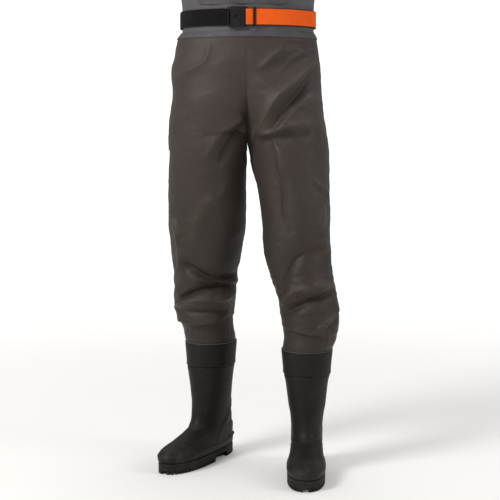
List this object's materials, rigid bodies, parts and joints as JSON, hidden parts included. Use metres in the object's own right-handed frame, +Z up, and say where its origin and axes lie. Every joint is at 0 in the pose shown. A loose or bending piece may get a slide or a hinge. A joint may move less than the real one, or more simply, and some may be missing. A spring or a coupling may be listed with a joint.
{
  "type": "chest waders",
  "caption": "Standing chest waders: coated-fabric bib and legs, welded rubber boots, webbing belt with side-release buckle, elastic braces and a zipped chest pocket.",
  "frame": {"origin": "on the floor, under the middle of the overall box", "axes": "+Z up, the wearer faces -Y and the wearer's left is +X"},
  "size_m": [0.4456, 0.4426, 1.5632],
  "materials": {
    "trouser_fabric": "coated nylon, fine weave, slightly sheen, taupe brown",
    "bib_fabric": "coated nylon, fine weave, cool grey",
    "seam_tape": "welded seam tape, smooth, light grey",
    "belt_webbing": "ribbed webbing, black",
    "belt_tail_webbing": "ribbed webbing, orange with black edges",
    "brace_elastic": "knitted elastic webbing, black",
    "buckle_plastic": "moulded, dark green-black, fine texture",
    "zip_tape": "knitted zip tape with a coil",
    "zip_metal": "blackened metal",
    "boot_rubber": "matte moulded rubber, near black",
    "sole_rubber": "matte moulded rubber, cleated",
    "footbed_felt": "pressed felt",
    "patch_rubber": "moulded patch"
  },
  "bodies": {
    "garment": {"bib_front": "bib_fabric", "bib_back": "bib_fabric", "bib_top_binding": "seam_tape", "waist_seam_tape": "seam_tape", "seat_right": "trouser_fabric", "seat_left": "trouser_fabric", "outseam_tape_seat_right": "seam_tape", "outseam_tape_seat_left": "seam_tape", "belt_buckle_socket": "buckle_plastic", "belt_webbing_back": "belt_webbing", "belt_loop_back": "bib_fabric", "belt_loop_right": "bib_fabric", "belt_loop_left": "bib_fabric", "chest_pocket_panel": "bib_fabric", "chest_pocket_border": "seam_tape", "pocket_zip_tape": "zip_tape", "brace_socket_right": "buckle_plastic", "brace_socket_left": "buckle_plastic", "brace_anchor_right": "belt_webbing", "brace_anchor_left": "belt_webbing", "brace_back_patch": "patch_rubber"},
    "belt_front": {"belt_buckle_plug": "buckle_plastic", "belt_webbing_left": "belt_webbing", "belt_webbing_tail": "belt_tail_webbing"},
    "belt_prong_upper": {"belt_buckle_prong_upper": "buckle_plastic"},
    "belt_prong_lower": {"belt_buckle_prong_lower": "buckle_plastic"},
    "belt_keeper": {"belt_keeper": "buckle_plastic"},
    "zip_slider": {"pocket_zip_slider": "zip_metal"},
    "zip_pull": {"pocket_zip_pull": "zip_metal"},
    "brace_front_right": {"brace_plug_right": "buckle_plastic", "brace_strap_right": "brace_elastic"},
    "brace_prong_inner_right": {"brace_prong_inner_right": "buckle_plastic"},
    "brace_prong_outer_right": {"brace_prong_outer_right": "buckle_plastic"},
    "brace_glide_right": {"brace_glide_right": "buckle_plastic"},
    "brace_front_left": {"brace_plug_left": "buckle_plastic", "brace_strap_left": "brace_elastic"},
    "brace_prong_inner_left": {"brace_prong_inner_left": "buckle_plastic"},
    "brace_prong_outer_left": {"brace_prong_outer_left": "buckle_plastic"},
    "brace_glide_left": {"brace_glide_left": "buckle_plastic"},
    "thigh_right": {"thigh_right": "trouser_fabric", "outseam_tape_thigh_right": "seam_tape", "knee_right": "trouser_fabric"},
    "lower_leg_right": {"shin_right": "trouser_fabric", "boot_upper_right": "boot_rubber", "boot_outsole_right": "sole_rubber", "boot_insole_right": "footbed_felt", "boot_heel_spur_right": "boot_rubber", "boot_cuff_band_right": "boot_rubber", "boot_weld_bead_right": "seam_tape"},
    "thigh_left": {"thigh_left": "trouser_fabric", "outseam_tape_thigh_left": "seam_tape", "knee_left": "trouser_fabric"},
    "lower_leg_left": {"shin_left": "trouser_fabric", "boot_upper_left": "boot_rubber", "boot_outsole_left": "sole_rubber", "boot_insole_left": "footbed_felt", "boot_heel_spur_left": "boot_rubber", "boot_cuff_band_left": "boot_rubber", "boot_weld_bead_left": "seam_tape"}
  },
  "joints": [
    {"name": "belt_release", "type": "slide", "parent": "garment", "child": "belt_front", "axis": [0.998, -0.0624, 0], "range_m": [0, 0.032], "deforming": ["belt_webbing_left", "belt_webbing_tail"]},
    {"name": "belt_prong_squeeze", "type": "hinge", "parent": "belt_front", "child": "belt_prong_upper", "pos_m": [-0.01865, -0.03564, 1.1281], "axis": [-0.0624, -0.998, 0], "range_deg": [0, 8], "stiffness_Nm_per_rad": 1},
    {"name": "belt_prong_lower_squeeze", "type": "hinge", "parent": "belt_front", "child": "belt_prong_lower", "pos_m": [-0.01865, -0.03564, 1.0939], "axis": [-0.0624, -0.998, 0], "range_deg": [-8, 0], "stiffness_Nm_per_rad": 1},
    {"name": "belt_keeper_slide", "type": "slide", "parent": "belt_front", "child": "belt_keeper", "axis": [0.998, 0.0639, 0], "range_m": [0, 0.02]},
    {"name": "pocket_zip_slide", "type": "hinge", "parent": "garment", "child": "zip_slider", "pos_m": [-0.00211, 0.20288, 1.317], "axis": [0, 0, 1], "range_deg": [0, 44]},
    {"name": "zip_pull_flip", "type": "hinge", "parent": "zip_slider", "child": "zip_pull", "pos_m": [-0.11032, -0.03306, 1.317], "axis": [0, 0, -1], "range_deg": [0, 150]},
    {"name": "brace_release_right", "type": "slide", "parent": "garment", "child": "brace_front_right", "axis": [0, 0, 1], "range_m": [0, 0.03], "deforming": ["brace_strap_right"]},
    {"name": "brace_prong_inner_right", "type": "hinge", "parent": "brace_front_right", "child": "brace_prong_inner_right", "pos_m": [-0.07912, -0.04784, 1.4593], "axis": [0, -1, 0], "range_deg": [-8, 0], "stiffness_Nm_per_rad": 1},
    {"name": "brace_prong_outer_right", "type": "hinge", "parent": "brace_front_right", "child": "brace_prong_outer_right", "pos_m": [-0.10932, -0.04784, 1.4593], "axis": [0, -1, 0], "range_deg": [0, 8], "stiffness_Nm_per_rad": 1},
    {"name": "brace_adjust_right", "type": "slide", "parent": "brace_front_right", "child": "brace_glide_right", "axis": [0, 0.4202, 0.9074], "range_m": [0, 0.012]},
    {"name": "brace_release_left", "type": "slide", "parent": "garment", "child": "brace_front_left", "axis": [0, 0, 1], "range_m": [0, 0.03], "deforming": ["brace_strap_left"]},
    {"name": "brace_prong_inner_left", "type": "hinge", "parent": "brace_front_left", "child": "brace_prong_inner_left", "pos_m": [0.07468, -0.04784, 1.4593], "axis": [0, -1, 0], "range_deg": [0, 8], "stiffness_Nm_per_rad": 1},
    {"name": "brace_prong_outer_left", "type": "hinge", "parent": "brace_front_left", "child": "brace_prong_outer_left", "pos_m": [0.10488, -0.04784, 1.4593], "axis": [0, -1, 0], "range_deg": [-8, 0], "stiffness_Nm_per_rad": 1},
    {"name": "brace_adjust_left", "type": "slide", "parent": "brace_front_left", "child": "brace_glide_left", "axis": [0, 0.4202, 0.9074], "range_m": [0, 0.012]},
    {"name": "hip_right", "type": "hinge", "parent": "garment", "child": "thigh_right", "pos_m": [-0.09622, 0.0834, 0.88], "axis": [-1, 0, 0], "range_deg": [0, 45], "deforming": ["seat_right", "outseam_tape_seat_right"]},
    {"name": "knee_right", "type": "hinge", "parent": "thigh_right", "child": "lower_leg_right", "pos_m": [-0.10622, 0.1114, 0.5], "axis": [0.9848, -0.1736, 0], "range_deg": [0, 60], "deforming": ["knee_right"]},
    {"name": "hip_left", "type": "hinge", "parent": "garment", "child": "thigh_left", "pos_m": [0.08878, 0.0774, 0.88], "axis": [-1, 0, 0], "range_deg": [0, 45], "deforming": ["seat_left", "outseam_tape_seat_left"]},
    {"name": "knee_left", "type": "hinge", "parent": "thigh_left", "child": "lower_leg_left", "pos_m": [0.11678, 0.0254, 0.5], "axis": [0.9986, -0.0523, 0], "range_deg": [0, 60], "deforming": ["knee_left"]}
  ],
  "couplings": [
    {"joint": "belt_prong_lower_squeeze", "follows": "belt_prong_squeeze", "ratio": -1},
    {"joint": "brace_prong_outer_right", "follows": "brace_prong_inner_right", "ratio": -1},
    {"joint": "brace_prong_outer_left", "follows": "brace_prong_inner_left", "ratio": -1}
  ]
}
